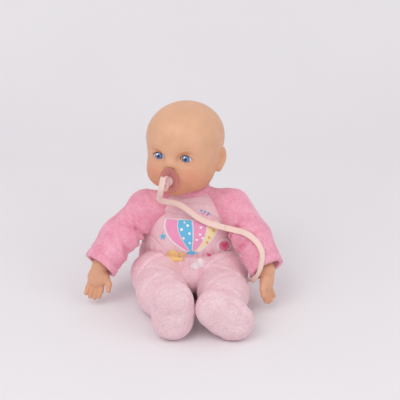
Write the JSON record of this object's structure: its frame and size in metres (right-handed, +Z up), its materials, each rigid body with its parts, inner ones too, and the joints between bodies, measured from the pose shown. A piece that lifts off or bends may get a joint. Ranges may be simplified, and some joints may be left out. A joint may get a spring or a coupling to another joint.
{
  "type": "interactive baby doll",
  "caption": "Soft-bodied baby doll sitting in a pink velour romper, with vinyl head and hands, sleep eyes, a sound unit in the belly and a pacifier on a ribbon.",
  "frame": {"origin": "centre of the flat face the doll sits on", "axes": "+Z up, the doll faces -Y, its left side is +X"},
  "size_m": [0.1974, 0.1771, 0.195],
  "materials": {
    "stuffing": "matt",
    "light_velour": "matt velour",
    "plush": "matt plush",
    "sole_cloth": "matt plush",
    "fastener_tape": "matt",
    "elastic": "matt",
    "tape": "satin",
    "ribbon": "satin",
    "skin_vinyl": "soft vinyl",
    "tie_nylon": "matt",
    "casing": "matt",
    "button_plastic": "satin",
    "electronics": "satin",
    "metal": "bright",
    "eye_white": "gloss",
    "eye_clear": "gloss",
    "pacifier_rose": "translucent gloss",
    "pacifier_pale": "gloss",
    "pacifier_soft": "soft"
  },
  "bodies": {
    "torso": {"torso_stuffing": "stuffing", "seat_bean_bag": "stuffing", "romper_seat": "light_velour", "romper_front_panel": "light_velour", "romper_back_left": "light_velour", "romper_back_right": "light_velour", "hook_strip": "fastener_tape", "loop_strip": "fastener_tape", "collar": "plush", "neck_tie": "tie_nylon", "waist_elastic": "elastic", "care_label": "tape", "sound_case_front": "casing", "sound_case_back": "casing", "speaker": "electronics", "circuit_board": "electronics", "button_cells": "metal", "battery_contacts": "metal", "battery_door": "casing", "screws": "metal", "button_spring": "metal", "ribbon_chest": "ribbon", "ribbon_side": "ribbon"},
    "head": {"head_shell": "skin_vinyl", "neck_plug": "casing", "mouth_cup": "casing", "reed_switch": "metal", "eye_cup_left": "casing", "eye_cup_right": "casing"},
    "pacifier": {"pacifier_shield": "pacifier_rose", "pacifier_teat": "pacifier_soft", "pacifier_magnet": "metal", "pacifier_knob": "pacifier_pale", "pacifier_ring": "pacifier_pale", "ribbon_upper": "ribbon"},
    "belly_button": {"belly_button": "button_plastic"},
    "power_switch": {"power_switch": "button_plastic"},
    "eye_left": {"eyeball_left": "eye_white", "cornea_left": "eye_clear", "eye_weight_left": "metal"},
    "arm_left": {"arm_stuffing_left": "stuffing", "sleeve_left": "plush", "cuff_left": "plush", "hand_left": "skin_vinyl", "wrist_tie_left": "tie_nylon"},
    "leg_left": {"leg_stuffing_left": "stuffing", "trouser_leg_left": "light_velour", "sole_left": "sole_cloth"},
    "eye_right": {"eyeball_right": "eye_white", "cornea_right": "eye_clear", "eye_weight_right": "metal"},
    "arm_right": {"arm_stuffing_right": "stuffing", "sleeve_right": "plush", "cuff_right": "plush", "hand_right": "skin_vinyl", "wrist_tie_right": "tie_nylon"},
    "leg_right": {"leg_stuffing_right": "stuffing", "trouser_leg_right": "light_velour", "sole_right": "sole_cloth"}
  },
  "joints": [
    {"name": "head_turn", "type": "hinge", "parent": "torso", "child": "head", "pos_m": [0, -0.006, 0.1], "axis": [0, 0, 1], "range_deg": [-35, 70], "deforming": ["ribbon_chest"]},
    {"name": "pacifier_pull", "type": "slide", "parent": "head", "child": "pacifier", "axis": [-0.342, -0.9397, 0], "range_m": [0, 0.02], "deforming": ["ribbon_upper"]},
    {"name": "belly_press", "type": "slide", "parent": "torso", "child": "belly_button", "axis": [0, 1, 0], "range_m": [0, 0.0015], "stiffness_N_per_m": 400, "springref_m": -0.0005, "deforming": ["button_spring"]},
    {"name": "switch_slide", "type": "slide", "parent": "torso", "child": "power_switch", "axis": [1, 0, 0], "range_m": [0, 0.004]},
    {"name": "eye_left_roll", "type": "hinge", "parent": "head", "child": "eye_left", "pos_m": [-0.00025, -0.03863, 0.15], "axis": [0.9397, -0.342, 0], "range_deg": [0, 70]},
    {"name": "arm_left_swing", "type": "hinge", "parent": "torso", "child": "arm_left", "pos_m": [0.043, -0.013, 0.088], "axis": [-1, 0, 0], "range_deg": [0, 115], "deforming": ["ribbon_side"]},
    {"name": "leg_left_swing", "type": "hinge", "parent": "torso", "child": "leg_left", "pos_m": [0.032, -0.038, 0.0272], "axis": [-1, 0, 0], "range_deg": [-85, 3]},
    {"name": "eye_right_roll", "type": "hinge", "parent": "head", "child": "eye_right", "pos_m": [-0.02656, -0.02905, 0.15], "axis": [0.9397, -0.342, 0], "range_deg": [0, 70]},
    {"name": "arm_right_swing", "type": "hinge", "parent": "torso", "child": "arm_right", "pos_m": [-0.043, -0.013, 0.088], "axis": [-1, 0, 0], "range_deg": [-50, 115]},
    {"name": "leg_right_swing", "type": "hinge", "parent": "torso", "child": "leg_right", "pos_m": [-0.032, -0.038, 0.0272], "axis": [-1, 0, 0], "range_deg": [-85, 3]}
  ]
}
